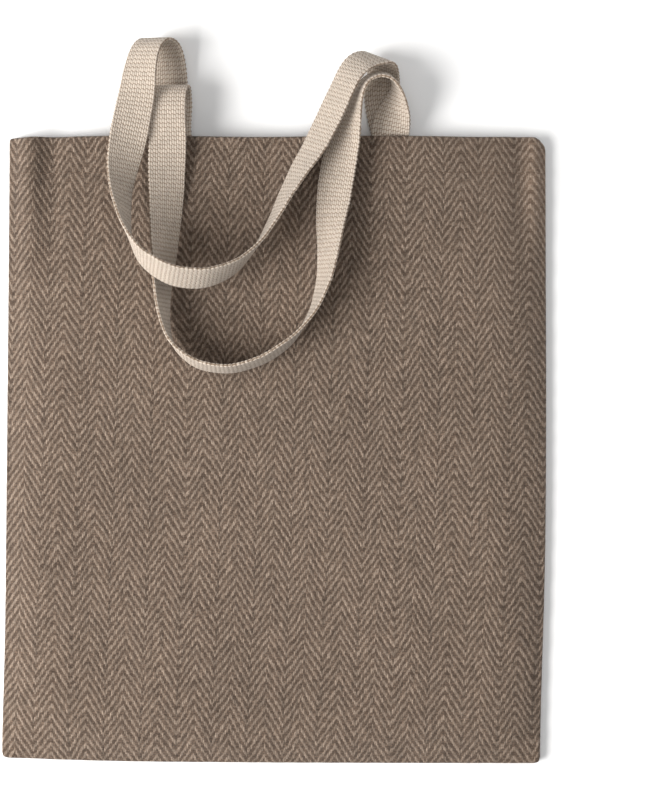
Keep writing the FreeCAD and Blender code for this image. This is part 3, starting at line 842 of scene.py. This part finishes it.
class Ribbon:
    """A length of webbing along its stations, with a straight tail at each end."""

    def __init__(self, route, sewn_z):
        centres, edges = [], []
        for across, past, height, datum, width in route:
            width = np.array(width, float)
            width /= np.linalg.norm(width)
            lift = abs(width[2]) * WEB_WIDTH / 2
            z = {SEWN: sewn_z + height, ABOVE: FACE + height + lift,
                 STACKED: FACE + height * WEB_WIDTH + lift}[datum]
            centres.append(np.array((HANDLE_SHIFT + across * HANDLE_OFFSET, MOUTH + past, z)))
            edges.append(centres[-1] + width * WEB_WIDTH / 2)
        lengths = [0.0]
        for a, b in zip(centres, centres[1:]):
            lengths.append(lengths[-1] + np.linalg.norm(b - a))
        self.end = lengths[-1]
        # two more stations down each straight tail hold the curve's ends straight
        lead = [8.0, 4.0]
        at = [-v for v in lead] + lengths + [self.end + v for v in lead[::-1]]
        drop = np.array((0, 1, 0.0))
        self.centre = natural_spline(at, [centres[0] - drop * v for v in lead] + centres
                                     + [centres[-1] - drop * v for v in lead[::-1]])
        self.edge = natural_spline(at, [edges[0] - drop * v for v in lead] + edges
                                   + [edges[-1] - drop * v for v in lead[::-1]])
        self.first, self.last = centres[0], centres[-1]

    def frames(self, t):
        """At lengths t: the middle, and the directions of the width and of the thickness."""
        inside = np.clip(t, 0.01, self.end - 0.01)
        middle = self.centre(inside)
        tangent = self.centre(inside + 0.005) - self.centre(inside - 0.005)
        tangent /= np.linalg.norm(tangent, axis=1, keepdims=True)
        width = self.edge(inside) - middle
        before, after = t <= 0, t >= self.end
        tangent[before], width[before] = (0, 1, 0), (-1, 0, 0)
        tangent[after], width[after] = (0, -1, 0), (1, 0, 0)
        middle[before] = self.first + np.outer(t[before], (0, 1, 0))
        middle[after] = self.last - np.outer(t[after] - self.end, (0, 1, 0))
        width -= tangent * (width * tangent).sum(1, keepdims=True)
        width /= np.linalg.norm(width, axis=1, keepdims=True)
        return middle, width, np.cross(tangent, width)

    def lengths_of(self, start, end, body):
        """(lengths of the rings of a piece, share of the full section at each)."""
        ring_gap, close = 0.9, 0.02
        t = np.linspace(start, end, max(8, int((end - start) / ring_gap)) + 1)
        # a ring close to each end keeps the end's edge crisp
        t = np.concatenate([[start, start + close], t[1:-1], [end - close, end]])
        if not body:
            return t, np.ones(len(t))
        # a slightly smaller tongue reaches into the piece at each end
        small = [TONGUE_SIZE, TONGUE_SIZE]
        share = np.concatenate([small, np.ones(len(t)), small])
        return np.concatenate([[start - TONGUE, start - 0.05], t, [end + 0.05, end + TONGUE]]), share

    def woven_length(self, t):
        """Lengths along the real curve, from the bottom of the first tail."""
        fine = np.linspace(-TAIL, self.end + TAIL, 4000)
        steps = np.linalg.norm(np.diff(self.frames(fine)[0], axis=0), axis=1)
        return np.interp(t, fine, np.concatenate([[0], np.cumsum(steps)]))

    def piece(self, name, start, end, body, node, seed):
        """The webbing between two lengths as a closed mesh with a woven selvedge."""
        t, share = self.lengths_of(start, end, body)
        middle, width, depth = self.frames(t)
        v = self.woven_length(t)
        half, thick = WEB_WIDTH / 2, WEB_THICK / 2
        w, d = webbing_section()
        profile_w = np.concatenate([w, w[::-1]]) * half
        profile_d = np.concatenate([d, -d[::-1]]) * thick
        # the selvedge is scalloped by the rows, and the whole edge wanders slowly
        phase = 2 * np.pi * v / WEB_ROW
        zig = np.where(profile_w[None] > 0, np.sin(phase)[:, None], np.sin(phase + 2.1)[:, None])
        zig = zig * 0.30 * smoothstep((np.abs(profile_w) - 9.5) / 3)[None]
        slow = 0.12 * np.sin(v / 6.1 + seed)[:, None] * smoothstep((np.abs(profile_w) - 6) / 6)[None]
        ww = profile_w[None] + zig * np.sign(profile_w)[None] + slow
        ww = ww * (1 - (1 - share) * 0.15)[:, None]
        ripple = 0.10 * np.sin(v / 3.7 + seed)[:, None]
        points = (middle[:, None] + width[:, None] * ww[..., None]
                  + depth[:, None] * (profile_d[None] * share[:, None] + ripple)[..., None])
        n, m = points.shape[:2]
        i, j = np.meshgrid(np.arange(m), np.arange(n - 1))
        a, b = j * m + i, j * m + (i + 1) % m
        faces = np.stack([a, b, b + m, a + m], -1).reshape(-1, 4).tolist()
        u = profile_w + half
        uvs = np.stack(np.broadcast_arrays(u[None] * MM, v[:, None] * MM), -1).reshape(-1, 2)
        sides = len(faces)
        for base, turned in ((0, True), ((n - 1) * m, False)):
            for q in range(m // 2 - 1):
                quad = [base + q, base + q + 1, base + m - 2 - q, base + m - 1 - q]
                faces.append(quad if turned else quad[::-1])
        ob = mesh_object(name, points.reshape(-1, 3), faces, WEBBING, uvs)
        # the end faces, and a tongue's, are flat
        hidden = 2 * m if body else 0
        smooth = [hidden <= k < sides - hidden for k in range(len(faces))]
        ob.data.polygons.foreach_set("use_smooth", smooth)
        centre = n // 2
        across = points[centre, 1] - points[centre, 0]
        along = points[centre + 1, 0] - points[centre, 0]
        if np.dot(np.cross(across, along), depth[centre]) < 0:
            ob.data.flip_normals()
        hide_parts(node)
        if body:
            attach(ob, body)
        return ob


def handle(word, route, sewn_z, cuts, left_turn, right_turn, seed):
    """A handle in three pieces that meet end to end, so that the loop can swing."""
    r = Ribbon(route, sewn_z)
    left, right = cuts(r)
    loop_body = word + "_loop"
    spans = (("left", -TAIL, left, None, "left_end"), ("loop", left, right, loop_body, "loop"),
             ("right", right, r.end + TAIL, None, "right_end"))
    turns = {"left": left_turn, "right": right_turn}
    for place, start, end, body, node in spans:
        ob = r.piece(word + "_strap_" + place, start, end, body, word + "_handle_" + node, seed)
        if place in turns:
            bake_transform(ob)


CUT_STEP = 0.25


def first_after(r, start, test):
    """The first length past start where the webbing's middle passes a test."""
    t = np.arange(start, r.end, CUT_STEP)
    return float(t[np.argmax(test(r.frames(t)[0]))])


def right_crest(r):
    """Where the second half of the route lies furthest past the mouth."""
    t = np.arange(r.end / 2, r.end, CUT_STEP)
    return float(t[np.argmax(r.frames(t)[0][:, 1])])


def front_cuts(r):
    """Where the front handle's loop starts and stops: past its left fold, and at its right crest."""
    return first_after(r, 38.0, lambda middle: middle[:, 2] > 28.4), right_crest(r)


def back_cuts(r):
    """The same for the back handle, whose left fold reaches further past the mouth."""
    over = first_after(r, 80.0, lambda middle: (middle[:, 1] < MOUTH + 43) & (middle[:, 2] > 28))
    return over, right_crest(r)


# two points for each end, given as x, distance past the mouth and height
handle("front", FRONT_ROUTE, FRONT_SEWN_Z, front_cuts,
       ((0, 0, 14.2), (0, 0, 26.4)), ((0, 2, 0), (0, 37, 0)), 0.4)
handle("back", BACK_ROUTE, BACK_SEWN_Z, back_cuts,
       ((0, 0, 9.0), (0, 0, 24.0)), ((75, 39.6, 6), (64.5, 50.2, 18)), 1.7)

# ---- studio ----------------------------------------------------------------------------
floor_mesh = bpy.data.meshes.new("floor")
FLOOR_HALF, FLOOR_Z = 20.0, -0.0003
floor_corners = [(sx * FLOOR_HALF, sy * FLOOR_HALF, FLOOR_Z)
                 for sx, sy in ((-1, -1), (1, -1), (1, 1), (-1, 1))]
floor_mesh.from_pydata(floor_corners, [], [(0, 1, 2, 3)])
floor = bpy.data.objects.new("floor", floor_mesh)
scene.collection.objects.link(floor)
paper = bpy.data.materials.new("floor_paper")
paper.use_nodes = True
paper_inputs = paper.node_tree.nodes["Principled BSDF"].inputs
paper_inputs["Base Color"].default_value = (0.93, 0.93, 0.93, 1)
paper_inputs["Roughness"].default_value = 0.9
floor_mesh.materials.append(paper)

world = bpy.data.worlds.new("studio")
scene.world = world
world.use_nodes = True
background = world.node_tree.nodes["Background"]
background.inputs[0].default_value = (1.0, 1.0, 1.0, 1)
background.inputs[1].default_value = 0.36


def area_light(name, place, target, size, power, color):
    """A round soft light at a place, aimed at a target."""
    data = bpy.data.lights.new(name, "AREA")
    data.shape = "DISK"
    data.size = size
    data.energy = power
    data.color = color
    ob = bpy.data.objects.new(name, data)
    scene.collection.objects.link(ob)
    ob.location = place
    direction = np.array(target) - np.array(place)
    ob.rotation_mode = "QUATERNION"
    ob.rotation_quaternion = Vector(direction).to_track_quat("-Z", "Y")


area_light("key", (-1.55, -0.50, 1.30), (-0.02, -0.03, 0), 1.5, 78, (1.0, 0.985, 0.965))
area_light("top", (0.2, 0.3, 2.4), (0, 0, 0), 2.0, 12, (0.98, 0.99, 1.0))
area_light("rim", (1.5, 0.5, 0.42), (0.2, 0.1, 0), 0.5, 5, (1.0, 1.0, 1.0))

camera = bpy.data.cameras.new("camera")
camera.sensor_width = 36.0
camera.lens = 99.7            # frames the bag as the photograph does, from 1.5 m above it
camera_object = bpy.data.objects.new("camera", camera)
scene.collection.objects.link(camera_object)
camera_object.location = (0.0386, (MOUTH - 177.0) * MM, 1.5)
camera_object.rotation_euler = (0, 0, 0)
scene.camera = camera_object
scene.view_settings.view_transform = "Standard"
